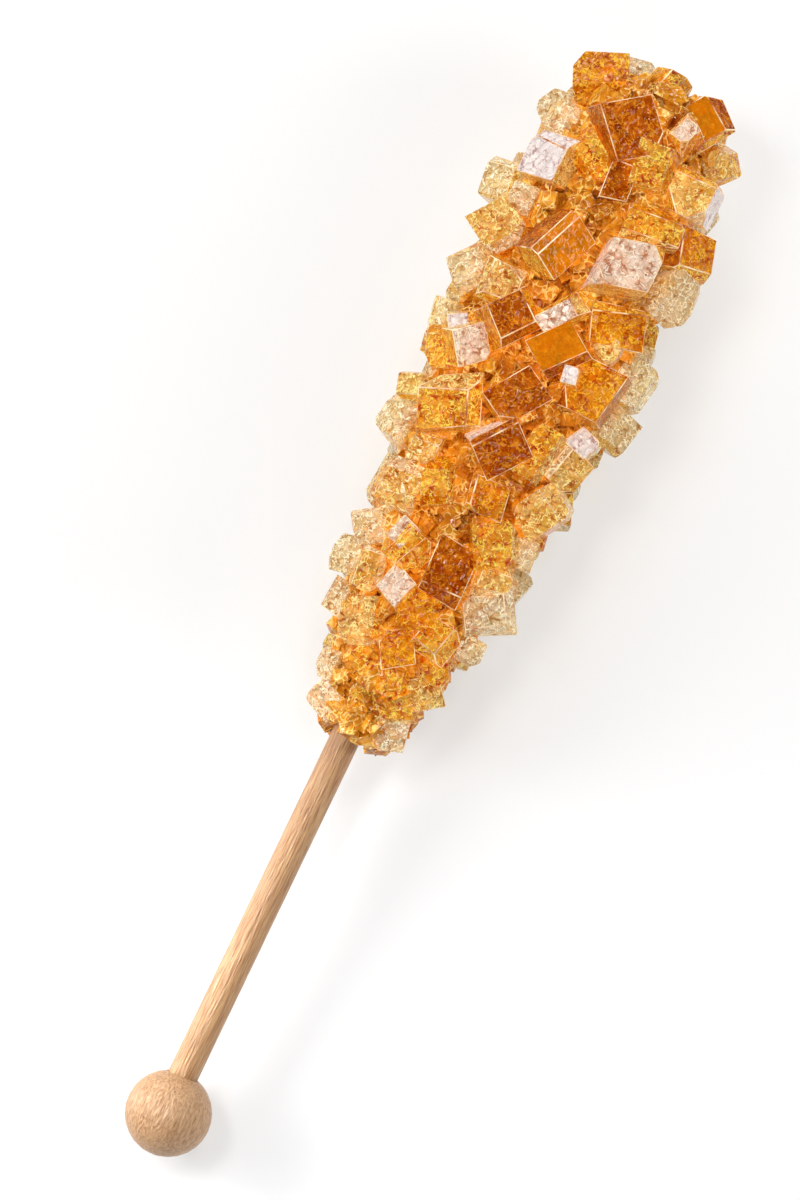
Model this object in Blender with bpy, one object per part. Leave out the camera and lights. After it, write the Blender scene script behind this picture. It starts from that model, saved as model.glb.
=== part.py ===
"""Rock candy stick: amber sugar crystals grown on a wooden dowel that ends in a round wooden bead.

The stick lies on a table. X runs from the bead to the crystals, Y across the stick and Z up.
The bead's flat spot and the flat feet of the lowest crystals stand on Z = 0.
"""

import math
import random

import bmesh
import bpy
from mathutils import Matrix, Vector

MM = 0.001

# Bead and dowel. The stick frame has its origin at the bead's centre and +X along the dowel.
BEAD_RADIUS = 6.25 * MM
BEAD_OFFSET = 0.45 * MM  # how far the bead sits off the dowel's axis, towards -Y
BEAD_FLAT_DEPTH = 0.1 * MM
DOWEL_RADIUS = 2.18 * MM
DOWEL_END = 150 * MM
DOWEL_ROUNDING = 0.3 * MM
SOCKET_DEPTH = 4.5 * MM  # how far the dowel goes into the bead
GAP = 0.3 * MM  # between the dowel and what it goes into
ROUND_STEPS = 32

# The stick leans up from the bead, because the crystals are thicker than the bead.
STICK_LEAN = math.radians(3.7)
STICK_HEIGHT = BEAD_RADIUS - BEAD_FLAT_DEPTH  # of the bead's centre

# The cluster's outer radius along the stick, from its lower end to its crown, and its axis' offset.
CLUSTER_PROFILE = (
    # along, radius
    (60, 6.0),
    (64, 7.6),
    (70, 9.2),
    (78, 11.6),
    (88, 13.4),
    (100, 14.4),
    (112, 15.2),
    (124, 15.8),
    (138, 16.2),
    (148, 15.0),
    (156, 13.2),
    (162, 10.0),
    (165, 6.0),
)
CLUSTER_OFFSET = -0.8 * MM  # towards -Y
CORE_SHARE = 0.77  # the fused core's radius as a share of the outer radius
CORE_SIDES = 16
CORE_RINGS = 14
CORE_START = 61.5 * MM
CORE_END = 161 * MM
FOOT_CLEARANCE = 0.4 * MM  # under the middle of a lowest crystal, whose corners the table cuts flat

MOST_SKEW = 8  # degrees, for the blocks whose own skew isn't given: sugar crystals are a little slanted
CHAMFER_REACH = (0.76, 0.9)  # how far out a block's edges and corners are cut off, as a share
BLOCK_SEED = 5

# The large crystals that face up, in mm and degrees. "along" is from the bead's centre and "across"
# is towards -Y. "turn" turns a block in plan and "skew" slants its ends. "up" leans its top face
# towards the crown and "side" leans it towards -Y. "rise" lifts it above the cluster's outer radius.
UPPER_CRYSTALS = (
    # along, across, length, width, depth, turn, skew, up, side, rise
    # Crown
    (160.0, -8.2, 7.4, 8.0, 7.5, 25, 6, 24, -20, 0.0),
    (163.6, -3.2, 3.6, 4.2, 5.0, 20, 8, 45, -5, -2.5),
    (162.4, 0.8, 6.4, 5.8, 6.0, -14, -8, 30, 0, -1.5),
    (160.4, 8.4, 6.8, 6.8, 7.0, -34, 8, 8, 12, -0.8),
    (155.4, 13.8, 5.0, 6.2, 6.0, 42, -6, -8, 28, -1.5),
    (149.7, 10.5, 6.4, 6.4, 7.0, 0, 3, 2, -14, 1.0),
    (154.8, -0.8, 8.6, 7.8, 7.0, 42, 4, 14, 10, 0.6),
    (157.4, 5.8, 4.4, 3.4, 5.0, -18, 16, 12, -16, 1.0),
    (152.6, -11.3, 5.6, 6.6, 6.0, -32, 8, 0, -25, -0.5),
    (145.6, -10.4, 7.0, 6.4, 6.8, -2, -8, -4, -35, 1.4),
    (140.4, -14.8, 6.2, 5.2, 6.0, 8, 5, 0, -28, -1.0),
    (139.2, -10.8, 4.4, 4.0, 5.0, 0, -6, 5, -10, -1.5),
    (147.0, 0.8, 6.4, 4.0, 6.0, 4, -10, 0, 4, -1.8),
    (150.4, 4.4, 7.6, 6.0, 6.0, 10, 6, -4, 10, -0.4),
    (148.4, -4.6, 5.0, 7.0, 6.0, -25, 8, 0, -8, -1.2),
    (143.2, 8.0, 5.4, 8.6, 6.0, 6, -8, 6, 6, -1.2),
    (142.6, 14.6, 6.4, 7.6, 7.0, 14, 8, 16, 30, 0.5),
    (135.8, 15.3, 8.0, 7.0, 8.0, -12, 6, -10, 26, 0.8),
    (136.8, 7.3, 7.4, 7.8, 7.0, -2, -18, 14, 8, 2.0),
    # Middle
    (135.0, -2.2, 8.2, 5.6, 6.5, -24, 5, 2, 24, 1.3),
    (134.0, -12.2, 6.6, 7.0, 7.0, -38, -8, 6, -22, 0.2),
    (127.3, -13.2, 6.0, 6.0, 6.0, 45, -6, 0, -24, -0.4),
    (126.8, -8.2, 6.2, 5.8, 6.0, 5, 6, -4, -12, 0.0),
    (123.2, -4.2, 6.9, 6.4, 6.5, -38, 4, 8, 10, 1.4),
    (126.4, 1.0, 7.2, 3.6, 5.5, -38, -10, 0, -16, 0.4),
    (121.6, 3.4, 7.0, 6.4, 6.0, -40, -5, -8, 2, 0.4),
    (118.6, 9.8, 8.0, 6.8, 7.0, -10, -8, 0, -10, 0.8),
    (128.6, 9.4, 6.0, 8.0, 6.0, 20, 6, 6, 12, -0.6),
    (125.2, 9.6, 4.0, 4.0, 5.0, -24, 8, 10, 0, 0.0),
    (122.4, 15.3, 6.6, 6.2, 7.0, -10, -6, 4, 10, 0.6),
    (115.4, 15.6, 5.8, 6.0, 6.5, -12, 5, -4, 16, 0.4),
    (117.4, -8.0, 5.4, 4.8, 6.5, 36, -6, 5, 14, 0.8),
    (119.5, -11.2, 3.4, 3.0, 5.0, 32, 10, 10, -10, 0.2),
    (115.4, -12.2, 6.4, 4.2, 6.0, 24, 5, 0, -26, -0.4),
    (120.0, -14.2, 4.2, 3.6, 5.0, 10, 8, 0, -20, -0.8),
    (113.4, 1.0, 7.8, 5.8, 6.0, -34, -4, 6, 4, 0.4),
    (105.6, 2.2, 7.4, 6.2, 6.8, -37, 4, 4, 6, 1.4),
    (108.6, -7.4, 8.0, 9.0, 7.0, 22, -8, 4, -10, 0.4),
    (103.6, -13.0, 5.6, 6.4, 6.5, -8, 6, 10, -20, 0.2),
    (108.6, -13.4, 4.6, 4.2, 5.0, 20, 8, 8, -25, -0.6),
    (101.4, -7.8, 4.4, 4.0, 5.0, 4, -8, 0, -12, 0.2),
    (107.4, 12.0, 6.0, 5.6, 6.5, -15, 6, 0, 16, 0.4),
    (111.6, 12.2, 3.6, 3.8, 5.0, -28, -10, 12, 0, 0.4),
    (100.2, 11.0, 7.0, 5.6, 6.5, -30, 5, -4, -8, 0.8),
    (107.2, 7.2, 8.0, 5.2, 6.0, -10, -6, 4, 8, -0.6),
    # Lower end
    (95.2, -9.0, 7.0, 6.4, 7.0, 5, 6, 4, -12, 0.4),
    (97.8, -4.0, 7.0, 4.6, 6.0, 22, -8, 0, -4, 0.0),
    (98.6, 3.4, 5.2, 5.6, 5.5, 10, 8, -4, 6, -0.8),
    (88.4, -10.0, 5.6, 6.0, 6.0, 36, 6, 4, -24, 0.2),
    (87.4, -3.6, 5.8, 6.4, 6.5, -24, -6, -6, -4, 0.6),
    (87.2, 3.0, 8.6, 6.2, 6.0, 2, 8, 2, 4, -0.2),
    (93.6, 7.2, 6.6, 6.8, 6.5, 28, -6, 4, 8, 0.2),
    (93.8, 11.8, 4.6, 3.6, 5.0, 6, 5, 0, 16, -0.4),
    (88.8, 9.2, 4.0, 5.4, 5.0, 4, -8, 0, 12, -0.2),
    (84.4, 10.8, 7.4, 7.8, 7.0, 32, 6, -4, 14, 1.0),
    (83.2, -11.4, 5.6, 4.4, 5.5, 4, -6, 0, -22, 0.2),
    (82.6, -7.4, 6.0, 4.2, 5.5, 6, 8, -2, -10, -0.2),
    (82.0, -3.0, 4.6, 4.2, 5.0, -16, 8, 6, -10, 0.8),
    (80.6, 1.4, 6.6, 5.8, 5.5, 14, -6, 0, 4, -0.8),
    (76.8, -9.6, 5.0, 3.9, 5.0, -4, 6, -4, -16, 0.3),
    (75.0, -5.4, 7.0, 5.8, 5.5, 16, -8, -2, -10, 0.2),
    (78.2, 10.8, 4.0, 4.0, 4.5, 2, 6, 0, 12, 0.2),
    (77.4, 5.8, 5.6, 6.0, 5.5, -14, -6, 0, 8, -0.4),
    (73.4, 7.2, 4.4, 4.2, 5.0, 18, 8, 4, 16, 0.0),
    (74.2, 1.0, 5.4, 5.0, 5.0, 30, -5, -2, 4, -0.6),
    (69.8, 7.6, 4.8, 5.0, 5.0, 40, 6, -4, 14, 0.6),
    (69.8, 2.6, 4.4, 4.6, 4.5, 12, -8, -4, 6, -0.2),
    (70.0, -2.4, 4.8, 4.4, 4.5, -18, 6, -2, -4, -0.3),
    (68.0, -6.8, 4.4, 4.0, 4.5, 0, -6, -6, -14, 0.3),
    (66.0, 5.0, 4.0, 4.4, 4.5, 24, 8, -8, 6, 0.0),
    (63.2, -5.0, 5.6, 4.8, 5.0, -18, 6, -14, -12, 0.2),
    (62.8, 5.2, 5.2, 5.4, 5.0, 12, -6, -16, 10, 0.2),
    (65.6, 0.0, 4.6, 4.4, 4.0, 8, 8, -10, 0, -1.0),
)

# Crystals of the flanks and the underside, in rings round the stick.
RING_START = 65 * MM
RING_END = 160 * MM
RING_PITCH = 6.1 * MM
RING_ARC = (104, 256)  # degrees round the stick from straight up, left clear of the upper crystals
RING_SPACING = 6.6 * MM
RING_SEED = 17

AMBER = (0.72, 0.30, 0.045, 1.0)
PALE_WOOD = (0.72, 0.52, 0.33, 1.0)
BEAD_WOOD = (0.68, 0.45, 0.28, 1.0)


def clear_scene():
    for obj in list(bpy.data.objects):
        bpy.data.objects.remove(obj)


def add_collection(name, hidden=False):
    collection = bpy.data.collections.new(name)
    collection.hide_render = hidden
    bpy.context.scene.collection.children.link(collection)
    return collection


def add_material(name, colour, roughness):
    material = bpy.data.materials.new(name)
    material.use_nodes = True
    shader = material.node_tree.nodes["Principled BSDF"]
    shader.inputs["Base Color"].default_value = colour
    shader.inputs["Roughness"].default_value = roughness
    return material


def add_object(name, bm, collection, parent=None, helper=False):
    """A new object from a bmesh, which is freed. A helper isn't rendered and isn't part of the object."""
    mesh = bpy.data.meshes.new(name)
    bm.to_mesh(mesh)
    bm.free()
    obj = bpy.data.objects.new(name, mesh)
    collection.objects.link(obj)
    obj.parent = parent
    if helper:
        obj.hide_render = True
        obj.display_type = "WIRE"
    return obj


def add_boolean(obj, operation, cutter):
    modifier = obj.modifiers.new(cutter.name, "BOOLEAN")
    modifier.operation = operation
    if isinstance(cutter, bpy.types.Collection):
        modifier.operand_type = "COLLECTION"
        modifier.collection = cutter
    else:
        modifier.object = cutter


def turned(profile, steps):
    """A closed solid turned round X from (along, radius) points, which start and end on the axis."""
    bm = bmesh.new()
    verts = [bm.verts.new((along, 0, radius)) for along, radius in profile]
    edges = [bm.edges.new(pair) for pair in zip(verts, verts[1:])]
    bmesh.ops.spin(
        bm,
        geom=verts + edges,
        cent=(0, 0, 0),
        axis=(1, 0, 0),
        angle=math.tau,
        steps=steps,
        use_merge=True,
    )
    bmesh.ops.remove_doubles(bm, verts=bm.verts, dist=0.001 * MM)
    bmesh.ops.recalc_face_normals(bm, faces=bm.faces)
    return bm


def arc(centre, radius, start, end, steps):
    """(along, radius) points on an arc round a centre, from one angle to another in degrees."""
    for step in range(steps + 1):
        angle = math.radians(start + (end - start) * step / steps)
        yield centre[0] + radius * math.cos(angle), centre[1] + radius * math.sin(angle)


def outer_radius(along):
    """The cluster's outer radius at a distance from the bead's centre."""
    points = [(a * MM, r * MM) for a, r in CLUSTER_PROFILE]
    if along <= points[0][0]:
        return points[0][1]
    for (a, low), (b, high) in zip(points, points[1:]):
        if along <= b:
            return low + (high - low) * (along - a) / (b - a)
    return points[-1][1]


def cut_off(bm, point, normal):
    """Takes off what lies past a plane and closes the mesh."""
    cut = bmesh.ops.bisect_plane(
        bm,
        geom=bm.verts[:] + bm.edges[:] + bm.faces[:],
        dist=0.001 * MM,
        plane_co=point,
        plane_no=normal,
        clear_outer=True,
    )
    edges = [e for e in cut["geom_cut"] if isinstance(e, bmesh.types.BMEdge)]
    if edges:
        bmesh.ops.holes_fill(bm, edges=edges)


def crystal_block(length, width, depth, skew, rng):
    """A slanted sugar block round the origin, with some of its edges and corners cut off."""
    bm = bmesh.new()
    bmesh.ops.create_cube(bm, size=1)
    bm.transform(Matrix.Diagonal((length, width, depth, 1)))
    slant = Matrix.Identity(4)
    slant[0][1] = math.tan(math.radians(skew))
    slant[0][2] = math.tan(math.radians(rng.uniform(-MOST_SKEW, MOST_SKEW)))
    bm.transform(slant)
    half = Vector((length, width, depth)) / 2
    for _ in range(rng.choice((2, 3, 3, 4))):
        corner = Vector(rng.choice((-1, 1)) for _ in range(3))
        if rng.random() < 0.5:
            corner[rng.choice((0, 1))] = 0
        normal = Vector(c / h for c, h in zip(corner, half)).normalized()
        reach = sum(abs(n) * h for n, h in zip(normal, half))
        cut_off(bm, normal * reach * rng.uniform(*CHAMFER_REACH), normal)
    bmesh.ops.recalc_face_normals(bm, faces=bm.faces)
    return bm


def upper_places():
    """(matrix in the stick frame, block sizes and skew) of each large crystal that faces up."""
    for along, across, length, width, depth, turn, skew, up, side, rise in UPPER_CRYSTALS:
        reach = outer_radius(along * MM)
        offset = across * MM + CLUSTER_OFFSET
        height = math.sqrt(max(reach**2 - offset**2, (0.25 * reach) ** 2)) + rise * MM
        lean = Vector((math.radians(up), -math.radians(side), 0))
        towards = Matrix.Rotation(lean.length, 4, Vector((0, 0, 1)).cross(lean))
        facing = towards @ Matrix.Rotation(math.radians(turn), 4, "Z")
        top = Matrix.Translation((along * MM, -across * MM, height))
        down = Matrix.Translation((0, 0, -depth * MM / 2))
        yield top @ facing @ down, (length * MM, width * MM, depth * MM, skew)


def reach_above_table(along, around):
    """The outer radius, or less where the table is nearer. "around" is the angle from straight up."""
    reach = outer_radius(along)
    down = -math.cos(around)
    if down <= 0.1:
        return reach
    axis_height = STICK_HEIGHT + along * math.sin(STICK_LEAN)
    return min(reach, (axis_height - FOOT_CLEARANCE) / down)


def ring_places():
    """(matrix in the stick frame, block sizes and skew) of each crystal of the flanks and underside."""
    rng = random.Random(RING_SEED)
    rings = round((RING_END - RING_START) / RING_PITCH) + 1
    for ring in range(rings):
        along = RING_START + (RING_END - RING_START) * ring / (rings - 1)
        reach = outer_radius(along)
        first, last = (math.radians(a) for a in RING_ARC)
        count = max(2, round((last - first) * reach / RING_SPACING))
        for place in range(count):
            share = (place + 0.5 + 0.25 * (-1) ** ring) / count
            around = first + (last - first) * share + rng.uniform(-0.08, 0.08)
            size = 0.42 * reach + rng.uniform(-0.6, 1.2) * MM
            sizes = tuple(size * rng.uniform(0.85, 1.2) for _ in range(3))
            out = reach_above_table(along, around) - sizes[2] * rng.uniform(0.42, 0.6)
            place_at = Vector((
                along + rng.uniform(-1, 1) * MM,
                CLUSTER_OFFSET + out * math.sin(around),
                out * math.cos(around),
            ))
            facing = (
                Matrix.Rotation(-around + rng.uniform(-0.4, 0.4), 4, "X")
                @ Matrix.Rotation(rng.uniform(-0.4, 0.4), 4, "Y")
                @ Matrix.Rotation(rng.uniform(0, math.pi / 2), 4, "Z")
            )
            skew = rng.uniform(-MOST_SKEW, MOST_SKEW)
            yield Matrix.Translation(place_at) @ facing, (*sizes, skew)


def add_crystals(collection, stick):
    rng = random.Random(BLOCK_SEED)
    for place, sizes in (*upper_places(), *ring_places()):
        block = crystal_block(*sizes, rng)
        obj = add_object("crystal", block, collection, stick, helper=True)
        obj.matrix_local = place


def cylinder_profile(start, end, radius, rounding=0.0):
    """(along, radius) points of a bar, with a bevel of this size round each end."""
    points = [(start, 0), (start, radius - rounding)]
    if rounding:
        points += [(start + rounding, radius), (end - rounding, radius)]
    return [*points, (end, radius - rounding), (end, 0)]


def core_profile():
    points = [(CORE_START, 0)]
    for ring in range(CORE_RINGS + 1):
        along = CORE_START + (CORE_END - CORE_START) * ring / CORE_RINGS
        points.append((along, CORE_SHARE * outer_radius(along)))
    return [*points, (CORE_END, 0)]


def shade_round(obj):
    """Smooth shading with a sharp edge wherever two faces meet at over 35 degrees."""
    obj.data.shade_smooth()
    obj.data.set_sharp_from_angle(angle=math.radians(35))


def add_table_cutter(collection):
    """A block that fills the space under the table."""
    bm = bmesh.new()
    bmesh.ops.create_cube(bm, size=0.4)
    bmesh.ops.translate(bm, verts=bm.verts, vec=(0, 0, -0.2))
    return add_object("under_table", bm, collection, helper=True)


def add_bore(collection, stick, start, end):
    """The room the dowel needs, with its gap all round."""
    bore = turned(cylinder_profile(start, end, DOWEL_RADIUS + GAP), ROUND_STEPS)
    return add_object("dowel_bore", bore, collection, stick, helper=True)


def add_dowel(collection, stick):
    start = BEAD_RADIUS - SOCKET_DEPTH
    bar = turned(cylinder_profile(start, DOWEL_END, DOWEL_RADIUS, DOWEL_ROUNDING), ROUND_STEPS)
    dowel = add_object("dowel", bar, collection, stick)
    dowel.data.materials.append(add_material("pale_wood", PALE_WOOD, 0.6))
    shade_round(dowel)
    return dowel


def add_bead(collection, stick, bore, table):
    ball = turned(list(arc((0, 0), BEAD_RADIUS, 180, 0, 14)), ROUND_STEPS)
    bead = add_object("bead", ball, collection, stick)
    bead.location.y = -BEAD_OFFSET
    bead.data.materials.append(add_material("bead_wood", BEAD_WOOD, 0.5))
    shade_round(bead)
    add_boolean(bead, "DIFFERENCE", bore)
    add_boolean(bead, "DIFFERENCE", table)
    return bead


def add_cluster(collection, stick, blocks, bore, table):
    cluster = add_object("crystals", turned(core_profile(), CORE_SIDES), collection, stick)
    cluster.location.y = CLUSTER_OFFSET
    cluster.data.materials.append(add_material("amber_sugar", AMBER, 0.15))
    add_boolean(cluster, "UNION", blocks)
    add_boolean(cluster, "DIFFERENCE", bore)
    add_boolean(cluster, "DIFFERENCE", table)
    return cluster


def centre_on_origin(stick, pieces):
    """Slides the stick over the table until its bounding box is centred on Z."""
    bpy.context.view_layer.update()
    graph = bpy.context.evaluated_depsgraph_get()
    points = []
    for piece in pieces:
        mesh = piece.evaluated_get(graph).to_mesh()
        points += [piece.matrix_world @ vert.co for vert in mesh.vertices]
    for axis in (0, 1):
        values = [point[axis] for point in points]
        stick.location[axis] -= (min(values) + max(values)) / 2


def main():
    clear_scene()
    parts = add_collection("rock_candy_stick")
    cutters = add_collection("cutters", hidden=True)
    blocks = add_collection("crystal_blocks", hidden=True)
    stick = bpy.data.objects.new("stick_frame", None)
    stick.location.z = STICK_HEIGHT
    stick.rotation_euler.y = -STICK_LEAN
    parts.objects.link(stick)
    add_crystals(blocks, stick)
    table = add_table_cutter(cutters)
    bore = add_bore(cutters, stick, BEAD_RADIUS - SOCKET_DEPTH - GAP, DOWEL_END + GAP)
    pieces = (
        add_dowel(parts, stick),
        add_bead(parts, stick, bore, table),
        add_cluster(parts, stick, blocks, bore, table),
    )
    centre_on_origin(stick, pieces)


if __name__ == "__main__":
    main()
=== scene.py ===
"""Rock candy stick: how it looks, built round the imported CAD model.

The stick lies on a pale table and the camera looks down on it, square to the stick. Clear sugar
crystals, each its own bevelled block, grow out of a lumpy amber core that is smaller than the CAD
solid of the crystals. Small amber grains fill the gaps between the blocks.

Lengths in the tables are in millimetres and angles in degrees. "Along" is the distance from the
bead's centre towards the crystals, and "across" is to the right in the picture.
"""

import math
import random

import bmesh
import bpy
from mathutils import Matrix, Vector


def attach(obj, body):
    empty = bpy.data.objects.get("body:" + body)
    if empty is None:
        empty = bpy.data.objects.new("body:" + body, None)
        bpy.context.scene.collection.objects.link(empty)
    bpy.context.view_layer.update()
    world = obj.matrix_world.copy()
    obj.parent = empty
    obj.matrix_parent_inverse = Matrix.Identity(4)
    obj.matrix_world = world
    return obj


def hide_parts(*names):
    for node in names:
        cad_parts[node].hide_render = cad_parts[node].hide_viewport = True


MM = 0.001
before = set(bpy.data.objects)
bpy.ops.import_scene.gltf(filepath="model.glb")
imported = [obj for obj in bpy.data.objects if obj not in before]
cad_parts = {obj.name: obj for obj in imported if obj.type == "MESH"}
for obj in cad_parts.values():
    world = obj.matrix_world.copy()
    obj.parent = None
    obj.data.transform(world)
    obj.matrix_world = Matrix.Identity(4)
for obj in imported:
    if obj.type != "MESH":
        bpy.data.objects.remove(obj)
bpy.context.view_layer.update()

# The stick frame has its origin at the bead's centre and +X along the dowel.
STICK_LEAN = math.radians(3.7)
STICK_ORIGIN = Vector((-79.434, 0.845, 6.15)) * MM
STICK = Matrix.Translation(STICK_ORIGIN) @ Matrix.Rotation(-STICK_LEAN, 4, "Y")

# The crystals of the upper side. Up and side are how far the top face leans towards the tip and
# to the right, rise is how far it stands out, and the tones are those of face_tones.
UPPER_CRYSTALS = (
    # along, across, length, width, depth, turn, skew, up, side, rise, tones
    # Crown
    (160.0, -8.2, 7.4, 8.0, 7.5, 25, 6, 24, -20, 0.0, "a"),
    (163.6, -3.2, 3.6, 4.2, 5.0, 20, 8, 45, -5, -2.5, "p"),
    (162.4, 0.8, 6.4, 5.8, 6.0, -14, -8, 30, 0, -1.5, "m"),
    (160.4, 8.4, 6.8, 6.8, 7.0, -34, 8, 8, 12, -0.8, "spmda"),
    (155.4, 13.8, 5.0, 6.2, 6.0, 42, -6, -8, 28, -1.5, "y"),
    (149.7, 10.5, 6.4, 6.4, 7.0, 0, 3, 2, -14, 1.0, "ympmw"),
    (154.8, -0.8, 8.6, 7.8, 7.0, 42, 4, 14, 10, 0.6, "dadda"),
    (157.4, 5.8, 4.4, 3.4, 5.0, -18, 16, 12, -16, 1.0, "gamaa"),
    (152.6, -11.3, 5.6, 6.6, 6.0, -32, 8, 0, -25, -0.5, "p"),
    (145.6, -10.4, 7.0, 6.4, 6.8, -2, -8, -4, -35, 1.4, "waypy"),
    (140.4, -14.8, 6.2, 5.2, 6.0, 8, 5, 0, -28, -1.0, "p"),
    (139.2, -10.8, 4.4, 4.0, 5.0, 0, -6, 5, -10, -1.5, "p"),
    (147.0, 0.8, 6.4, 4.0, 6.0, 4, -10, 0, 4, -1.8, "d"),
    (150.4, 4.4, 7.6, 6.0, 6.0, 10, 6, -4, 10, -0.4, "m"),
    (148.4, -4.6, 5.0, 7.0, 6.0, -25, 8, 0, -8, -1.2, "m"),
    (143.2, 8.0, 5.4, 8.6, 6.0, 6, -8, 6, 6, -1.2, "m"),
    (142.6, 14.6, 6.4, 7.6, 7.0, 14, 8, 16, 30, 0.5, "a"),
    (135.8, 15.3, 8.0, 7.0, 8.0, -12, 6, -10, 26, 0.8, "ppwyp"),
    (136.8, 7.3, 7.4, 7.8, 7.0, -2, -18, 14, 8, 2.0, "gyywy"),
    # Middle
    (135.0, -2.2, 8.2, 5.6, 6.5, -24, 5, 2, 24, 1.3, "samda"),
    (134.0, -12.2, 6.6, 7.0, 7.0, -38, -8, 6, -22, 0.2, "ymmya"),
    (127.3, -13.2, 6.0, 6.0, 6.0, 45, -6, 0, -24, -0.4, "pyypy"),
    (126.8, -8.2, 6.2, 5.8, 6.0, 5, 6, -4, -12, 0.0, "y"),
    (123.2, -4.2, 6.9, 6.4, 6.5, -38, 4, 8, 10, 1.4, "daada"),
    (126.4, 1.0, 7.2, 3.6, 5.5, -38, -10, 0, -16, 0.4, "gmmam"),
    (121.6, 3.4, 7.0, 6.4, 6.0, -40, -5, -8, 2, 0.4, "smmaa"),
    (118.6, 9.8, 8.0, 6.8, 7.0, -10, -8, 0, -10, 0.8, "aammd"),
    (128.6, 9.4, 6.0, 8.0, 6.0, 20, 6, 6, 12, -0.6, "a"),
    (125.2, 9.6, 4.0, 4.0, 5.0, -24, 8, 10, 0, 0.0, "y"),
    (122.4, 15.3, 6.6, 6.2, 7.0, -10, -6, 4, 10, 0.6, "p"),
    (115.4, 15.6, 5.8, 6.0, 6.5, -12, 5, -4, 16, 0.4, "p"),
    (117.4, -8.0, 5.4, 4.8, 6.5, 36, -6, 5, 14, 0.8, "gyymy"),
    (119.5, -11.2, 3.4, 3.0, 5.0, 32, 10, 10, -10, 0.2, "wyyyy"),
    (115.4, -12.2, 6.4, 4.2, 6.0, 24, 5, 0, -26, -0.4, "m"),
    (120.0, -14.2, 4.2, 3.6, 5.0, 10, 8, 0, -20, -0.8, "p"),
    (113.4, 1.0, 7.8, 5.8, 6.0, -34, -4, 6, 4, 0.4, "daama"),
    (105.6, 2.2, 7.4, 6.2, 6.8, -37, 4, -6, 10, 1.4, "daawd"),
    (108.6, -7.4, 8.0, 9.0, 7.0, 22, -8, 4, -10, 0.4, "mymam"),
    (103.6, -13.0, 5.6, 6.4, 6.5, -8, 6, 10, -20, 0.2, "ppypw"),
    (108.6, -13.4, 4.6, 4.2, 5.0, 20, 8, 8, -25, -0.6, "y"),
    (101.4, -7.8, 4.4, 4.0, 5.0, 4, -8, 0, -12, 0.2, "y"),
    (107.4, 12.0, 6.0, 5.6, 6.5, -15, 6, 0, 16, 0.4, "ymmyy"),
    (111.6, 12.2, 3.6, 3.8, 5.0, -28, -10, 12, 0, 0.4, "wppyp"),
    (100.2, 11.0, 7.0, 5.6, 6.5, -30, 5, -4, -8, 0.8, "yymma"),
    (107.2, 7.2, 8.0, 5.2, 6.0, -10, -6, 4, 8, -0.6, "m"),
    # Lower end
    (95.2, -9.0, 7.0, 6.4, 7.0, 5, 6, 4, -12, 0.4, "y"),
    (97.8, -4.0, 7.0, 4.6, 6.0, 22, -8, 0, -4, 0.0, "m"),
    (98.6, 3.4, 5.2, 5.6, 5.5, 10, 8, -4, 6, -0.8, "a"),
    (88.4, -10.0, 5.6, 6.0, 6.0, 36, 6, 4, -24, 0.2, "p"),
    (87.4, -3.6, 5.8, 6.4, 6.5, -24, -6, -6, -4, 0.6, "mamya"),
    (87.2, 3.0, 8.6, 6.2, 6.0, 2, 8, 2, 4, -0.2, "daama"),
    (93.6, 7.2, 6.6, 6.8, 6.5, 28, -6, 4, 8, 0.2, "m"),
    (93.8, 11.8, 4.6, 3.6, 5.0, 6, 5, 0, 16, -0.4, "p"),
    (88.8, 9.2, 4.0, 5.4, 5.0, 4, -8, 0, 12, -0.2, "y"),
    (84.4, 10.8, 7.4, 7.8, 7.0, 32, 6, -4, 14, 1.0, "pyppy"),
    (83.2, -11.4, 5.6, 4.4, 5.5, 4, -6, 0, -22, 0.2, "pwpyp"),
    (82.6, -7.4, 6.0, 4.2, 5.5, 6, 8, -2, -10, -0.2, "y"),
    (82.0, -3.0, 4.6, 4.2, 5.0, -16, 8, 6, -10, 0.8, "gmmyy"),
    (80.6, 1.4, 6.6, 5.8, 5.5, 14, -6, 0, 4, -0.8, "a"),
    (76.8, -9.6, 5.0, 3.9, 5.0, -4, 6, -4, -16, 0.3, "ppapy"),
    (75.0, -5.4, 7.0, 5.8, 5.5, 16, -8, -2, -10, 0.2, "y"),
    (78.2, 10.8, 4.0, 4.0, 4.5, 2, 6, 0, 12, 0.2, "p"),
    (77.4, 5.8, 5.6, 6.0, 5.5, -14, -6, 0, 8, -0.4, "m"),
    (73.4, 7.2, 4.4, 4.2, 5.0, 18, 8, 4, 16, 0.0, "m"),
    (74.2, 1.0, 5.4, 5.0, 5.0, 30, -5, -2, 4, -0.6, "a"),
    (69.8, 7.6, 4.8, 5.0, 5.0, 40, 6, -4, 14, 0.6, "ymyyp"),
    (69.8, 2.6, 4.4, 4.6, 4.5, 12, -8, -4, 6, -0.2, "m"),
    (70.0, -2.4, 4.8, 4.4, 4.5, -18, 6, -2, -4, -0.3, "m"),
    (68.0, -6.8, 4.4, 4.0, 4.5, 0, -6, -6, -14, 0.3, "p"),
    (66.0, 5.0, 4.0, 4.4, 4.5, 24, 8, -8, 6, 0.0, "m"),
    (63.2, -5.0, 5.6, 4.8, 5.0, -18, 6, -14, -12, 0.2, "p"),
    (62.8, 5.2, 5.2, 5.4, 5.0, 12, -6, -16, 10, 0.2, "p"),
    (65.6, 0.0, 4.6, 4.4, 4.0, 8, 8, -10, 0, -1.0, "m"),
)
# Small crystals turned to catch a lamp's light, whose top faces are also painted glints, white or
# pink. They are made last, after all the others.
SMALL_PAINTED_GLINTS = (
    (119.2, 6.3, 2.6, 2.3, 4.0, 10, 0, 5, -10, 1.3, "wyyyy"),
    (89.3, -5.3, 4.0, 3.2, 5.0, -20, 0, 5, -10, 0.8, "gmmyy"),
)

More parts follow.
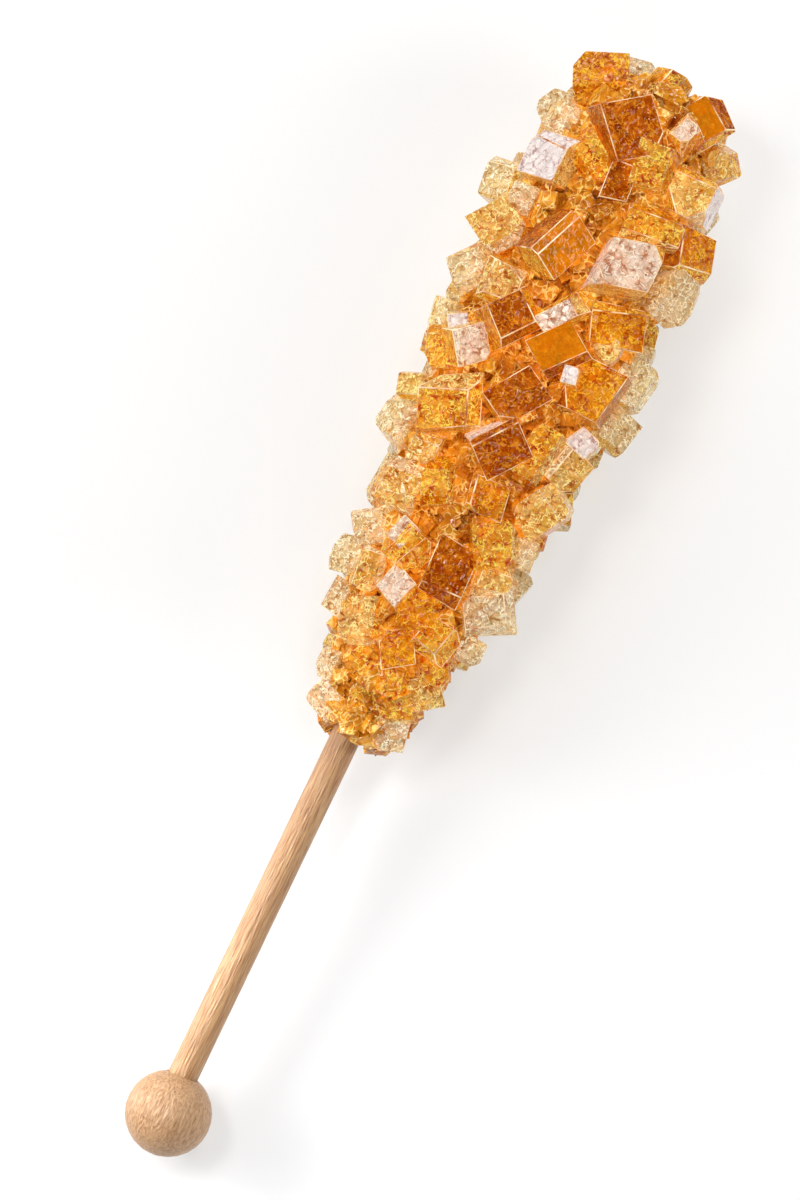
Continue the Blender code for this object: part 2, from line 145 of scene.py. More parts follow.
# Edges and corners that every block loses
BLOCK_SEED = 5
BLOCK_CUTS = (2, 3, 3, 4)
MOST_SKEW = 8
CHAMFER_REACH = (0.76, 0.9)

# Further cuts on the paler blocks and on those near the tip
TRIMMED_TONES = "pym"
TRIM_FROM = 156 * MM
TRIM_CUTS = (3, 4, 5)
TRIM_EDGE_SHARE = 0.6
TRIM_SLOPE = (0.6, 1.4)
TRIM_REACH = (0.7, 0.88)

# The narrow bevel along every edge of a block, whose faces carry a painted highlight or a painted
# lighter tone
BEVEL = 0.12 * MM
HIGHLIGHT_EDGED_TONES = "dsgw"
PAINT_SEED = 21

# The whole cluster's shape, in millimetres
CLUSTER_OFFSET = -0.8 * MM
CLUSTER_PROFILE = (
    # along, radius
    (60, 6.0),
    (64, 7.6),
    (70, 9.2),
    (78, 11.6),
    (88, 13.4),
    (100, 14.4),
    (112, 15.2),
    (124, 15.8),
    (138, 16.2),
    (148, 15.0),
    (156, 13.2),
    (162, 10.0),
    (165, 6.0),
)
# A crystal of the upper side is at least this high over the axis, as a share of the radius
LEAST_HEIGHT = 0.25
FOOT_CLEARANCE = 0.4 * MM
# How far down a direction has to point before the table limits the radius in it
LEAST_DOWN = 0.1

# Rings of crystals on the sides and the underside: the arc is in degrees from the top, the sway
# and the tilt in radians, and the size spread and the shift in millimetres
RING_START = 65 * MM
RING_END = 160 * MM
RING_PITCH = 6.1 * MM
RING_ARC = (104, 256)
RING_SPACING = 6.6 * MM
RING_SEED = 17
RING_STAGGER = 0.25
RING_SWAY = 0.08
RING_SIZE_SHARE = 0.42
RING_SIZE_SPREAD = (-0.6, 1.2)
RING_STRETCH = (0.85, 1.2)
RING_SHIFT = 1
RING_SINK = (0.42, 0.6)
RING_TILT = 0.4
RING_TONES = "ypyypym"

# Grains between the crystals: start, length and size in millimetres, sway and tilt in radians
FILL_COUNT = 900
FILL_SEED = 8
FILL_START = 61.5
FILL_LENGTH = 101
FILL_SWAY = 0.3
FILL_SIZE = (1.5, 3.2)
FILL_STRETCH = (0.8, 1.2)
FILL_DEPTH = (0.68, 0.86)
FILL_SINK = 0.3
FILL_TILT = 0.6
GOLDEN_ANGLE = 2.39996

# The amber core and the lumps on it: start, length, span and size in millimetres
CORE_SHARE = 0.7
CORE_SEED = 3
CORE_START = 60.8
CORE_LENGTH = 100.4
CORE_STEPS = 40
CORE_SIDES = 32
CORE_END_RADIUS = 2.3 * MM
LUMP_COUNT = 1700
LUMP_SPAN = (60.5, 161)
LUMP_DEPTH = (0.9, 1.02)
LUMP_SIZE = (1.6, 3.2)
LUMP_TURN = 3


def outer_radius(along):
    """The cluster's outer radius at a distance from the bead's centre."""
    points = [(a * MM, r * MM) for a, r in CLUSTER_PROFILE]
    if along <= points[0][0]:
        return points[0][1]
    for (a, low), (b, high) in zip(points, points[1:]):
        if along <= b:
            return low + (high - low) * (along - a) / (b - a)
    return points[-1][1]


def reach_above_table(along, around):
    """The cluster's radius in one direction, less where it would come too near the table."""
    reach = outer_radius(along)
    down = -math.cos(around)
    if down <= LEAST_DOWN:
        return reach
    axis_height = STICK_ORIGIN.z + along * math.sin(STICK_LEAN)
    return min(reach, (axis_height - FOOT_CLEARANCE) / down)


def round_axis(along, around, out):
    """A point at an angle round the cluster's axis, which is 0 on top."""
    return Vector((along, CLUSTER_OFFSET + out * math.sin(around), out * math.cos(around)))


def facing_out(around, tilt, rng):
    """Turns a block's top outwards, gives it a small tilt and spins it by chance."""
    return (
        Matrix.Rotation(-around + rng.uniform(-tilt, tilt), 4, "X")
        @ Matrix.Rotation(rng.uniform(-tilt, tilt), 4, "Y")
        @ Matrix.Rotation(rng.uniform(0, math.pi / 2), 4, "Z")
    )


def cut_off(bm, point, normal):
    """Takes off what lies past a plane and closes the mesh."""
    cut = bmesh.ops.bisect_plane(
        bm,
        geom=bm.verts[:] + bm.edges[:] + bm.faces[:],
        dist=0.001 * MM,
        plane_co=point,
        plane_no=normal,
        clear_outer=True,
    )
    edges = [e for e in cut["geom_cut"] if isinstance(e, bmesh.types.BMEdge)]
    if edges:
        bmesh.ops.holes_fill(bm, edges=edges)


def reach_of(half, normal):
    """How far a block with these half sizes reaches in one direction."""
    return sum(abs(n) * h for n, h in zip(normal, half))


def crystal_block(length, width, depth, skew, rng):
    """A slanted sugar block round the origin, with some of its edges and corners cut off."""
    bm = bmesh.new()
    bmesh.ops.create_cube(bm, size=1)
    bm.transform(Matrix.Diagonal((length, width, depth, 1)))
    slant = Matrix.Identity(4)
    slant[0][1] = math.tan(math.radians(skew))
    slant[0][2] = math.tan(math.radians(rng.uniform(-MOST_SKEW, MOST_SKEW)))
    bm.transform(slant)
    half = Vector((length, width, depth)) / 2
    for _ in range(rng.choice(BLOCK_CUTS)):
        corner = Vector(rng.choice((-1, 1)) for _ in range(3))
        if rng.random() < 0.5:
            corner[rng.choice((0, 1))] = 0
        normal = Vector(c / h for c, h in zip(corner, half)).normalized()
        cut_off(bm, normal * reach_of(half, normal) * rng.uniform(*CHAMFER_REACH), normal)
    bmesh.ops.recalc_face_normals(bm, faces=bm.faces)
    return bm


def trim(bm, sizes, rng):
    """Cuts more corners and edges off a block, mostly round the face that shows."""
    half = Vector(sizes[:3]) / 2
    for _ in range(rng.choice(TRIM_CUTS)):
        corner = Vector((rng.choice((-1, 1)), rng.choice((-1, 1)), rng.choice((1, 1, 0))))
        if corner.z and rng.random() < TRIM_EDGE_SHARE:
            corner[rng.choice((0, 1))] = 0
        normal = Vector(c * rng.uniform(*TRIM_SLOPE) / h for c, h in zip(corner, half))
        normal.normalize()
        cut_off(bm, normal * reach_of(half, normal) * rng.uniform(*TRIM_REACH), normal)
    bmesh.ops.recalc_face_normals(bm, faces=bm.faces)


def upper_places(rows):
    """Place, sizes and tones of each row's crystal. Its top face is at the row's point."""
    for along, across, length, width, depth, turn, skew, up, side, rise, tones in rows:
        reach = outer_radius(along * MM)
        offset = across * MM + CLUSTER_OFFSET
        height = math.sqrt(max(reach**2 - offset**2, (LEAST_HEIGHT * reach) ** 2)) + rise * MM
        lean = Vector((math.radians(up), -math.radians(side), 0))
        towards = Matrix.Rotation(lean.length, 4, Vector((0, 0, 1)).cross(lean))
        facing = towards @ Matrix.Rotation(math.radians(turn), 4, "Z")
        top = Matrix.Translation((along * MM, -across * MM, height))
        down = Matrix.Translation((0, 0, -depth * MM / 2))
        yield top @ facing @ down, (length * MM, width * MM, depth * MM, skew), tones


def ring_places():
    """Place, sizes and tone of each crystal on the sides and the underside."""
    rng = random.Random(RING_SEED)
    rings = round((RING_END - RING_START) / RING_PITCH) + 1
    first, last = (math.radians(a) for a in RING_ARC)
    for ring in range(rings):
        along = RING_START + (RING_END - RING_START) * ring / (rings - 1)
        reach = outer_radius(along)
        count = max(2, round((last - first) * reach / RING_SPACING))
        for place in range(count):
            share = (place + 0.5 + RING_STAGGER * (-1) ** ring) / count
            around = first + (last - first) * share + rng.uniform(-RING_SWAY, RING_SWAY)
            size = RING_SIZE_SHARE * reach + rng.uniform(*RING_SIZE_SPREAD) * MM
            sizes = tuple(size * rng.uniform(*RING_STRETCH) for _ in range(3))
            out = reach_above_table(along, around) - sizes[2] * rng.uniform(*RING_SINK)
            at = round_axis(along + rng.uniform(-RING_SHIFT, RING_SHIFT) * MM, around, out)
            facing = facing_out(around, RING_TILT, rng)
            skew = rng.uniform(-MOST_SKEW, MOST_SKEW)
            tone = RING_TONES[(ring * 5 + place * 3) % len(RING_TONES)]
            yield Matrix.Translation(at) @ facing, (*sizes, skew), tone


def fill_places():
    """Place and sizes of each small grain."""
    rng = random.Random(FILL_SEED)
    for index in range(FILL_COUNT):
        along = (FILL_START + FILL_LENGTH * (index + 0.5) / FILL_COUNT) * MM
        around = index * GOLDEN_ANGLE + rng.uniform(-FILL_SWAY, FILL_SWAY)
        size = rng.uniform(*FILL_SIZE) * MM
        out = reach_above_table(along, around) * rng.uniform(*FILL_DEPTH) - size * FILL_SINK
        facing = facing_out(around, FILL_TILT, rng)
        sizes = tuple(size * rng.uniform(*FILL_STRETCH) for _ in range(3))
        rng.randrange(4)  # unused, and kept so that later draws stay the same
        skew = rng.uniform(-MOST_SKEW, MOST_SKEW)
        yield Matrix.Translation(round_axis(along, around, out)) @ facing, (*sizes, skew)


def add_mesh(name, bm, *materials):
    mesh = bpy.data.meshes.new(name)
    for material in materials:
        mesh.materials.append(material)
    bm.to_mesh(mesh)
    bm.free()
    obj = bpy.data.objects.new(name, mesh)
    bpy.context.scene.collection.objects.link(obj)
    return obj


def merge_into(target, bm):
    """Moves all of one mesh into another."""
    mesh = bpy.data.meshes.new("part")
    bm.to_mesh(mesh)
    bm.free()
    target.from_mesh(mesh)
    bpy.data.meshes.remove(mesh)


def new_material(name):
    m = bpy.data.materials.new(name)
    m.use_nodes = True
    return m, m.node_tree, m.node_tree.nodes["Principled BSDF"]


def math_node(nt, operation, *values):
    node = nt.nodes.new("ShaderNodeMath")
    node.operation = operation
    for slot, value in zip(node.inputs, values):
        if isinstance(value, (int, float)):
            slot.default_value = value
        else:
            nt.links.new(value, slot)
    return node.outputs[0]


def span(nt, value, low, high, to_low=0.0, to_high=1.0):
    """Maps low to to_low and high to to_high, and holds the ends."""
    node = nt.nodes.new("ShaderNodeMapRange")
    node.inputs["From Min"].default_value = low
    node.inputs["From Max"].default_value = high
    node.inputs["To Min"].default_value = to_low
    node.inputs["To Max"].default_value = to_high
    nt.links.new(value, node.inputs["Value"])
    return node.outputs["Result"]


def blend(nt, share, first, second):
    """A colour from the first to the second as share goes from 0 to 1."""
    node = nt.nodes.new("ShaderNodeMix")
    node.data_type = "RGBA"
    nt.links.new(share, node.inputs["Factor"])
    for socket, value in ((node.inputs["A"], first), (node.inputs["B"], second)):
        if isinstance(value, tuple):
            socket.default_value = (*value, 1)
        else:
            nt.links.new(value, socket)
    return node.outputs["Result"]


def noise_node(nt, scale, detail=2, distortion=0.0, roughness=0.5, offset=0.0):
    """Cloudy noise fixed to the object. The scale is in cells a metre."""
    tc = nt.nodes.new("ShaderNodeTexCoord")
    place = nt.nodes.new("ShaderNodeMapping")
    place.inputs["Location"].default_value = (offset, offset, offset)
    nt.links.new(tc.outputs["Object"], place.inputs["Vector"])
    n = nt.nodes.new("ShaderNodeTexNoise")
    n.inputs["Scale"].default_value = scale
    n.inputs["Detail"].default_value = detail
    n.inputs["Distortion"].default_value = distortion
    n.inputs["Roughness"].default_value = roughness
    nt.links.new(place.outputs["Vector"], n.inputs["Vector"])
    return n.outputs["Fac"]


def patches(nt, scale, low, high, offset):
    """1 in some places and 0 in others."""
    return span(nt, noise_node(nt, scale, distortion=0.5, offset=offset), low, high)


def line_distance(nt, scale, seed=0.0):
    """The distance to the nearest of many thin wavy lines."""
    tc = nt.nodes.new("ShaderNodeTexCoord")
    sway = nt.nodes.new("ShaderNodeTexNoise")
    sway.inputs["Scale"].default_value = 0.9 * scale
    sway.inputs["Detail"].default_value = 1
    nt.links.new(tc.outputs["Object"], sway.inputs["Vector"])
    moved = nt.nodes.new("ShaderNodeVectorMath")
    moved.operation = "ADD"
    moved.inputs[1].default_value = (seed, seed, seed)
    nt.links.new(tc.outputs["Object"], moved.inputs[0])
    place = nt.nodes.new("ShaderNodeVectorMath")
    place.operation = "MULTIPLY_ADD"
    place.inputs[1].default_value = (1.1 / scale,) * 3
    nt.links.new(sway.outputs["Color"], place.inputs[0])
    nt.links.new(moved.outputs["Vector"], place.inputs[2])
    cells = nt.nodes.new("ShaderNodeTexVoronoi")
    cells.feature = "DISTANCE_TO_EDGE"
    cells.inputs["Scale"].default_value = scale
    nt.links.new(place.outputs["Vector"], cells.inputs["Vector"])
    return cells.outputs["Distance"]


def line_at(nt, distance, width):
    """1 on a line of this half width, and 0 off it."""
    return span(nt, distance, 0.5 * width, width, 1.0, 0.0)


def ridge_at(nt, distance, width):
    """The height that goes with a line, for a bump."""
    return span(nt, distance, 0.0, 3 * width, 1.0, 0.0)


def add_bump(nt, p, height, strength, distance):
    b = nt.nodes.new("ShaderNodeBump")
    b.inputs["Strength"].default_value = strength
    b.inputs["Distance"].default_value = distance
    nt.links.new(height, b.inputs["Height"])
    nt.links.new(b.outputs["Normal"], p.inputs["Normal"])


# Fine pattern of the crystals: scales in cells a metre, half widths as shares of a cell
LINE_SCALE, LINE_WIDTH = 880, 0.088
FINE_LINE_SCALE, FINE_LINE_WIDTH, FINE_LINE_SEED = 1500, 0.1, 0.7
SHADE_WIDTH = 2.2
MOTTLE_SCALE = 380
# What the tone's colour is raised to, and then times, in the painted shade beside a line and on a
# line, which is milky and a painted highlight
PAINTED_SHADE_POWERS, PAINTED_SHADE_SHARES = (1.8, 2.8, 3.0), (0.5, 0.4, 0.45)
MILK_AND_HIGHLIGHT_POWERS = (0.1, 0.42, 0.62)
# How clear a line is, and how much of the tone a lamp picks up on its way through
LINE_CLEARNESS = 0.1
LAMP_TINT = 0.15


def crystal_material(name, colour, clear, strokes):
    """Partly clear sugar with milky lines that are also painted highlights, painted shade beside
    them, and mottling.
    """
    m, nt, p = new_material(name)
    # Milky lines that also stand in for highlights: painted highlights
    away = line_distance(nt, LINE_SCALE)
    line = line_at(nt, away, LINE_WIDTH)
    light = math_node(nt, "MULTIPLY", line, patches(nt, 1300, 0.5, 0.56, 3.0))
    fine_away = line_distance(nt, FINE_LINE_SCALE, FINE_LINE_SEED)
    fine_line = line_at(nt, fine_away, FINE_LINE_WIDTH)
    fine_light = math_node(nt, "MULTIPLY", fine_line, patches(nt, 900, 0.5, 0.58, 9.0))
    light = math_node(nt, "MAXIMUM", light, fine_light)
    light = math_node(nt, "MULTIPLY", light, strokes)
    # Painted shade beside the lines
    beside = span(nt, away, LINE_WIDTH, SHADE_WIDTH * LINE_WIDTH, 1.0, 0.0)
    shade = math_node(nt, "MULTIPLY", beside, patches(nt, 700, 0.48, 0.6, 5.0))
    shade = math_node(nt, "MULTIPLY", shade, strokes)
    cloud = noise_node(nt, MOTTLE_SCALE, detail=3, distortion=1.0, roughness=0.6, offset=11.0)
    mottle = span(nt, cloud, 0.38, 0.62)
    dim = tuple(c ** (1 + 0.4 * strokes) * (1 - 0.2 * strokes) for c in colour)
    vivid = tuple(c ** (1 - 0.25 * strokes) for c in colour)
    painted_shade_colour = tuple(k * c**power for c, k, power in zip(colour, PAINTED_SHADE_SHARES, PAINTED_SHADE_POWERS))
    milk_and_highlight_colour = tuple(c**power for c, power in zip(colour, MILK_AND_HIGHLIGHT_POWERS))
    tint = blend(nt, shade, blend(nt, mottle, dim, vivid), painted_shade_colour)
    nt.links.new(blend(nt, light, tint, milk_and_highlight_colour), p.inputs["Base Color"])
    clearness = span(nt, light, 0.0, 1.0, clear, LINE_CLEARNESS)
    nt.links.new(clearness, p.inputs["Transmission Weight"])
    p.inputs["Roughness"].default_value = 0.04
    p.inputs["IOR"].default_value = 1.38
    p.inputs["Specular IOR Level"].default_value = 0.22
    add_bump(nt, p, ridge_at(nt, away, LINE_WIDTH), 0.6 * strokes, 0.5 * MM)
    # Lamps shine straight through, so that what is under the crystals is lit.
    through = nt.nodes.new("ShaderNodeBsdfTransparent")
    through.inputs["Color"].default_value = (*(1 - LAMP_TINT * (1 - c) for c in colour), 1)
    path = nt.nodes.new("ShaderNodeLightPath")
    mix = nt.nodes.new("ShaderNodeMixShader")
    nt.links.new(path.outputs["Is Shadow Ray"], mix.inputs["Fac"])
    nt.links.new(p.outputs["BSDF"], mix.inputs[1])
    nt.links.new(through.outputs["BSDF"], mix.inputs[2])
    nt.links.new(mix.outputs["Shader"], nt.nodes["Material Output"].inputs["Surface"])
    return m


def edge_highlight_material(name, colour):
    """Painted highlights on the thin bevels along a crystal's edges."""
    m, nt, p = new_material(name)
    p.inputs["Base Color"].default_value = (*colour, 1)
    p.inputs["Roughness"].default_value = 0.35
    nt.links.new(patches(nt, 350, 0.4, 0.6, 9.0), p.inputs["Transmission Weight"])
    return m


CORE_LINE_SCALE, CORE_LINE_WIDTH = 800, 0.09
CORE_CLOUD_SCALE = 330


def core_material(name, low, high, line_milk_and_highlight):
    """Wet-looking amber, clouded from the low tone to the high one, with pale lines that are
    partly painted highlights.
    """
    m, nt, p = new_material(name)
    p.inputs["Roughness"].default_value = 0.18
    p.inputs["IOR"].default_value = 1.5
    cloud = noise_node(nt, CORE_CLOUD_SCALE, detail=5, distortion=0.4, roughness=0.62)
    tone = span(nt, cloud, 0.34, 0.66)
    away = line_distance(nt, CORE_LINE_SCALE)
    line = line_at(nt, away, CORE_LINE_WIDTH)
    # Pale lines, partly painted highlights
    light = math_node(nt, "MULTIPLY", line, patches(nt, 420, 0.42, 0.56, 3.0))
    nt.links.new(blend(nt, light, blend(nt, tone, low, high), line_milk_and_highlight), p.inputs["Base Color"])
    add_bump(nt, p, ridge_at(nt, away, CORE_LINE_WIDTH), 0.5, 0.5 * MM)
    return m


GRAIN_SCALE = 3400
PORE_SCALE = 5200
PORE_SHADE = (0.5, 0.34, 0.22)


def wood_material(name, pale, brown, grain_along, pores):
    """Fine grain that runs along the stick, with short dark pores."""
    m, nt, p = new_material(name)
    tc = nt.nodes.new("ShaderNodeTexCoord")
    place = nt.nodes.new("ShaderNodeMapping")
    place.vector_type = "TEXTURE"
    place.inputs["Rotation"].default_value = (0, -STICK_LEAN, 0)
    place.inputs["Scale"].default_value = (grain_along, 1, 1)
    nt.links.new(tc.outputs["Object"], place.inputs["Vector"])

    def streaks(scale, detail, low, high):
        n = nt.nodes.new("ShaderNodeTexNoise")
        n.inputs["Scale"].default_value = scale
        n.inputs["Detail"].default_value = detail
        nt.links.new(place.outputs["Vector"], n.inputs["Vector"])
        return span(nt, n.outputs["Fac"], low, high)

    grain = streaks(GRAIN_SCALE, 4, 0.36, 0.68)
    pore = math_node(nt, "MULTIPLY", streaks(PORE_SCALE, 1, 0.62, 0.7), pores)
    dark = tuple(c * k for c, k in zip(brown, PORE_SHADE))
    nt.links.new(blend(nt, pore, blend(nt, grain, pale, brown), dark), p.inputs["Base Color"])
    p.inputs["Roughness"].default_value = 0.34
    p.inputs["Specular IOR Level"].default_value = 0.75
    add_bump(nt, p, grain, 0.5, 0.3 * MM)
    return m


# Sugar tones: p pale, y yellow, m middle, a amber, s smooth amber, d dark, g a painted pink glint,
# w a painted white reflection
TONES = {
    # colour, how clear, how much of the fine pattern
    "p": ((0.98, 0.85, 0.52), 0.6, 1.0),
    "y": ((0.95, 0.64, 0.15), 0.55, 1.0),
    "m": ((0.95, 0.46, 0.025), 0.5, 1.0),
    "a": ((0.8, 0.27, 0.004), 0.45, 0.8),
    "s": ((0.7, 0.23, 0.004), 0.4, 0.2),
    "d": ((0.42, 0.085, 0.002), 0.35, 0.6),
    "g": ((0.96, 0.77, 0.6), 0.3, 1.0),
    "w": ((0.9, 0.8, 0.77), 0.1, 0.9),
}
# Lighter and darker tones, for faces and edges painted lighter and darker, and for tones picked at
# random
LIGHTER = {"p": "p", "y": "p", "m": "y", "a": "m", "s": "m", "d": "a", "g": "y", "w": "p"}
DARKER = {"p": "y", "y": "m", "m": "a", "a": "d", "s": "d", "d": "d", "g": "m", "w": "y"}
# Colour of the painted highlights on the edges
EDGE_HIGHLIGHT_COLOUR = (1.0, 0.8, 0.5)
# A face looks along an axis when its normal has more than this along it
SQUARE_ON = 0.9


def face_tones(tones, rng):
    """A block's tones: on top, ahead, behind, on its left and on its right."""
    if len(tones) == 5:
        return tones
    choices = (tones, LIGHTER[tones], DARKER[tones])
    return tones + "".join(rng.choice(choices) for _ in range(4))


def paint_faces(bm, tones, rng):
    """Sets each face's material from which way it looks, before the block is turned: partly the
    sugar's own tone, partly painted facet shade and glints.
    """
    order = list(TONES)
    for face in bm.faces:
        x, y, z = face.normal
        if z > SQUARE_ON:
            tone = tones[0]
        elif abs(x) > SQUARE_ON:
            tone = tones[1] if x > 0 else tones[2]
        elif abs(y) > SQUARE_ON:
            tone = tones[3] if y > 0 else tones[4]
        else:
            tone = rng.choice((tones[0], LIGHTER[tones[0]], DARKER[tones[0]]))
        face.material_index = order.index(tone)


def build_crystals():
    """All the clear blocks in one mesh, none of them below the table."""
    rng = random.Random(BLOCK_SEED)
    paint = random.Random(PAINT_SEED)
    made = bmesh.new()
    places = (*upper_places(UPPER_CRYSTALS), *ring_places(), *upper_places(SMALL_PAINTED_GLINTS))
    for place, sizes, tones in places:
        block = crystal_block(*sizes, rng)
        if tones[0] in TRIMMED_TONES or place.translation.x > TRIM_FROM:
            trim(block, sizes, paint)
        paint_faces(block, face_tones(tones, paint), paint)
        # The bevels get the painted edge highlight, and otherwise a painted lighter tone of the
        # block
        painted_highlight_edges = tones[0] in HIGHLIGHT_EDGED_TONES or paint.random() < 0.5
        edge = len(TONES) if painted_highlight_edges else list(TONES).index(LIGHTER[tones[0]])
        bmesh.ops.bevel(
            block,
            geom=block.edges[:],
            offset=BEVEL,
            segments=1,
            affect="EDGES",
            clamp_overlap=True,
            material=edge,
        )
        block.transform(STICK @ place)
        cut_off(block, Vector((0, 0, 0)), Vector((0, 0, -1)))
        merge_into(made, block)
    return made


def build_core():
    """A closed tube inside the crystals, with small turned cubes all over it."""
    rng = random.Random(CORE_SEED)
    bm = bmesh.new()
    rings = []
    for i in range(CORE_STEPS + 1):
        along = (CORE_START + CORE_LENGTH * i / CORE_STEPS) * MM
        radius = CORE_SHARE * outer_radius(along)
        if i in (0, CORE_STEPS):
            radius = CORE_END_RADIUS
        rings.append([
            bm.verts.new(STICK @ round_axis(along, math.tau * k / CORE_SIDES, radius))
            for k in range(CORE_SIDES)
        ])
    for low, high in zip(rings, rings[1:]):
        for k in range(CORE_SIDES):
            after = (k + 1) % CORE_SIDES
            bm.faces.new((low[k], low[after], high[after], high[k]))
    bm.faces.new(rings[0])
    bm.faces.new(rings[-1])
    bmesh.ops.recalc_face_normals(bm, faces=bm.faces)
    for _ in range(LUMP_COUNT):
        along = rng.uniform(*LUMP_SPAN) * MM
        around = rng.uniform(0, math.tau)
        radius = CORE_SHARE * outer_radius(along) * rng.uniform(*LUMP_DEPTH)
        lump = bmesh.new()
        bmesh.ops.create_cube(lump, size=rng.uniform(*LUMP_SIZE) * MM)
        turn = (
            Matrix.Rotation(rng.uniform(0, LUMP_TURN), 4, "X")
            @ Matrix.Rotation(rng.uniform(0, LUMP_TURN), 4, "Y")
            @ Matrix.Rotation(rng.uniform(0, LUMP_TURN), 4, "Z")
        )
        at = round_axis(along, around, radius)
        lump.transform(STICK @ Matrix.Translation(at) @ turn)
        merge_into(bm, lump)
    return bm


def build_fills():
    """All the grains in one mesh."""
    rng = random.Random(BLOCK_SEED)
    bm = bmesh.new()
    for place, sizes in fill_places():
        grain = crystal_block(*sizes, rng)
        grain.transform(STICK @ place)
        merge_into(bm, grain)
    return bm


sugar = [crystal_material(f"sugar_{tone}", *values) for tone, values in TONES.items()]
sugar.append(edge_highlight_material("sugar_painted_edge_highlights", EDGE_HIGHLIGHT_COLOUR))
crystals = add_mesh("sugar_crystals", build_crystals(), *sugar)
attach(crystals, "root")
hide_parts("crystals")
AMBER = {
    # low tone, high tone, the pale lines, which are partly painted highlights
    "amber_core": ((0.35, 0.065, 0.002), (0.9, 0.36, 0.015), (1.0, 0.65, 0.15)),
    "grains": ((0.45, 0.1, 0.002), (0.9, 0.4, 0.02), (1.0, 0.66, 0.18)),
}
core = add_mesh("amber_core", build_core(), core_material("amber_core", *AMBER["amber_core"]))
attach(core, "root")
fills = add_mesh("grains", build_fills(), core_material("grains", *AMBER["grains"]))
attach(fills, "root")

WOOD = {
    # pale tone, brown tone, how stretched the grain is, how dark the pores are
    "dowel": ((0.575, 0.335, 0.145), (0.36, 0.145, 0.042), 14, 0.6),
    "bead": ((0.59, 0.35, 0.175), (0.365, 0.17, 0.058), 5, 0.5),
}
for part, values in WOOD.items():
    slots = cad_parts[part].data.materials
    slots.clear()
    slots.append(wood_material(f"{part}_wood", *values))


TABLE_HALF = 2


def build_table():
    bm = bmesh.new()
    bmesh.ops.create_grid(bm, x_segments=1, y_segments=1, size=TABLE_HALF)
    return bm


def table_material():
    m, _, p = new_material("table")
    p.inputs["Base Color"].default_value = (0.5, 0.5, 0.5, 1)
    p.inputs["Roughness"].default_value = 0.8
    p.inputs["Specular IOR Level"].default_value = 0.1
    p.inputs["Emission Color"].default_value = (1, 1, 1, 1)
    p.inputs["Emission Strength"].default_value = 0.45
    return m


table = add_mesh("table", build_table(), table_material())

# Camera: looks square at the stick, turned so that the stick leans to the right of upright.
LEAN_IN_PICTURE = math.radians(25.675)
RIGHT = Vector((math.sin(LEAN_IN_PICTURE), -math.cos(LEAN_IN_PICTURE), 0))
UP = Vector((math.cos(LEAN_IN_PICTURE), math.sin(LEAN_IN_PICTURE), 0))
BACK = RIGHT.cross(UP)
AIM = Vector((80.4, 1.5, 0)) * MM
DISTANCE = 0.85
HEIGHT_SHOWN = 171.4 * MM
SENSOR = 36  # along the longer side of the picture, its height


def add_camera():
    camera = bpy.data.cameras.new("camera")
    camera.sensor_width = SENSOR
    camera.lens = SENSOR * DISTANCE / HEIGHT_SHOWN
    camera.clip_start = 0.01
    camera.clip_end = 10
    obj = bpy.data.objects.new("camera", camera)
    bpy.context.scene.collection.objects.link(obj)
    turn = Matrix((RIGHT, UP, BACK)).transposed().to_4x4()
    obj.matrix_world = STICK @ Matrix.Translation(AIM + BACK * DISTANCE) @ turn
    bpy.context.scene.camera = obj


add_camera()

SOFTBOXES = {
    # where from (right, up, towards the camera), half its angular size in degrees, its brightness
    "left_low": ((-1.0, 0.05, 0.4), 12, 8.2),
    "right_low": ((1.0, -0.1, 0.5), 12, 6.8),
    "top_low": ((0.0, 1.0, 0.6), 12, 7.4),
    "bottom_low": ((0.2, -1.0, 0.6), 12, 4.6),
    "left_high": ((-0.45, 0.28, 1.0), 6, 21.0),
    "right_high": ((0.28, 0.5, 1.0), 6, 14.0),
}
SOFTBOX_DISTANCE = 0.6
SOFTBOX_AIM = Vector((110, 0, 0)) * MM

# A light beside the wood, given in the stick frame
WOOD_LIGHT_MIDDLE = Vector((18, 0, 0)) * MM
WOOD_LIGHT_AWAY = Vector((0, 72, 36)) * MM
WOOD_LIGHT_LENGTH = 64 * MM
WOOD_LIGHT_WIDTH = 34 * MM
WOOD_LIGHT_SPREAD = math.radians(60)
WOOD_LIGHT_BRIGHTNESS = 2.0


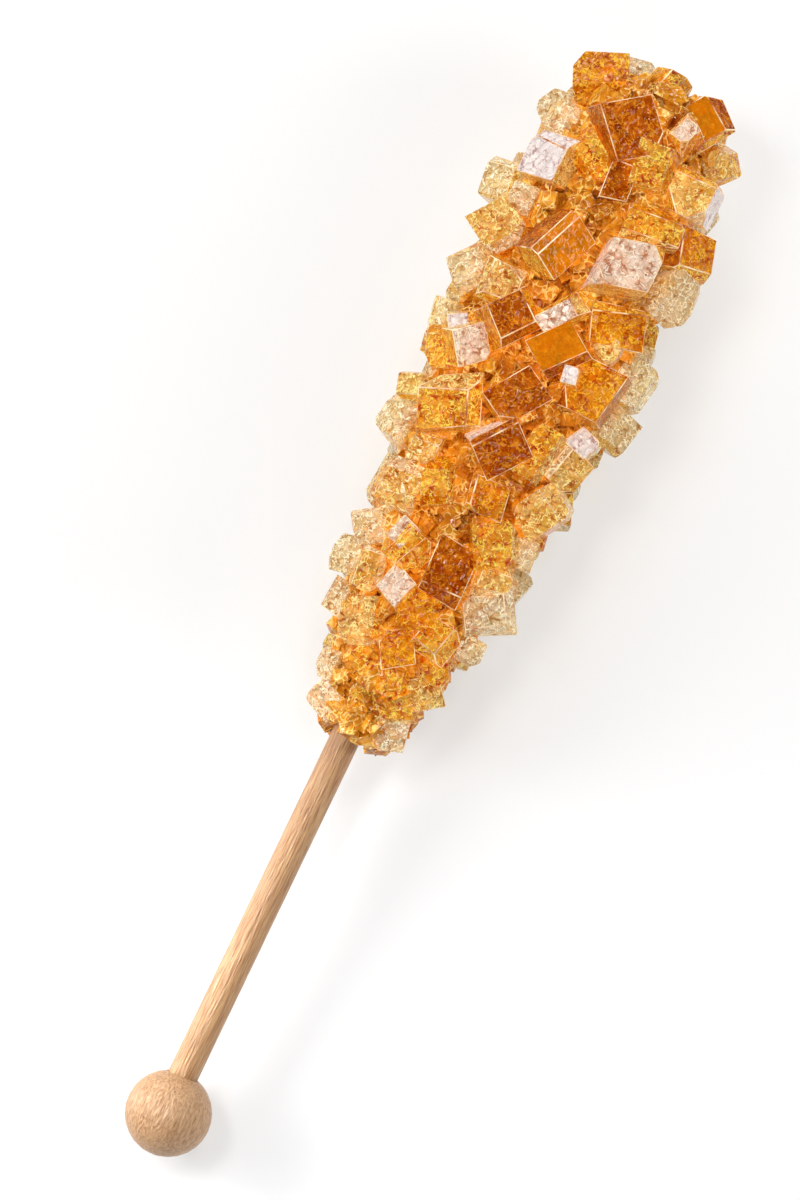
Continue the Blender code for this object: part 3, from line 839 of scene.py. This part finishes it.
def add_area_light(name, length, width, brightness, matrix):
    """An area light that shines along its own -Z. Its power follows from its size."""
    light = bpy.data.lights.new(name, "AREA")
    light.shape = "RECTANGLE"
    light.size, light.size_y = length, width
    light.energy = brightness * math.pi * length * width
    obj = bpy.data.objects.new(name, light)
    bpy.context.scene.collection.objects.link(obj)
    obj.matrix_world = matrix
    return light


def add_softbox(name, direction, half_angle, brightness):
    """A square light aimed at the crystals."""
    side = 2 * SOFTBOX_DISTANCE * math.tan(math.radians(half_angle))
    towards = (RIGHT * direction[0] + UP * direction[1] + BACK * direction[2]).normalized()
    towards = STICK.to_3x3() @ towards
    at = STICK @ SOFTBOX_AIM + towards * SOFTBOX_DISTANCE
    turn = towards.to_track_quat("Z", "Y").to_matrix().to_4x4()
    add_area_light(name, side, side, brightness, Matrix.Translation(at) @ turn)


def add_wood_light():
    """A long narrow light beside the bead and the dowel, which lights them from one side."""
    z = WOOD_LIGHT_AWAY.normalized()
    x = Vector((1, 0, 0))
    x = (x - z * x.dot(z)).normalized()
    turn = Matrix((x, z.cross(x), z)).transposed().to_4x4()
    matrix = STICK @ Matrix.Translation(WOOD_LIGHT_MIDDLE + WOOD_LIGHT_AWAY) @ turn
    light = add_area_light(
        "wood_left", WOOD_LIGHT_LENGTH, WOOD_LIGHT_WIDTH, WOOD_LIGHT_BRIGHTNESS, matrix
    )
    light.spread = WOOD_LIGHT_SPREAD


for name, values in SOFTBOXES.items():
    add_softbox(name, *values)
add_wood_light()


def add_world():
    """Bright near the horizon and dim overhead, so that faces that look up stay rich in colour."""
    world = bpy.data.worlds.new("world")
    bpy.context.scene.world = world
    world.use_nodes = True
    nt = world.node_tree
    tc = nt.nodes.new("ShaderNodeTexCoord")
    split = nt.nodes.new("ShaderNodeSeparateXYZ")
    nt.links.new(tc.outputs["Generated"], split.inputs[0])
    strength = span(nt, split.outputs["Z"], 0.35, 0.92, to_low=0.95, to_high=0.18)
    nt.links.new(strength, nt.nodes["Background"].inputs["Strength"])


add_world()
scene = bpy.context.scene
scene.view_settings.view_transform = "Standard"
scene.cycles.max_bounces = 16
scene.cycles.transmission_bounces = 12
scene.cycles.transparent_max_bounces = 8
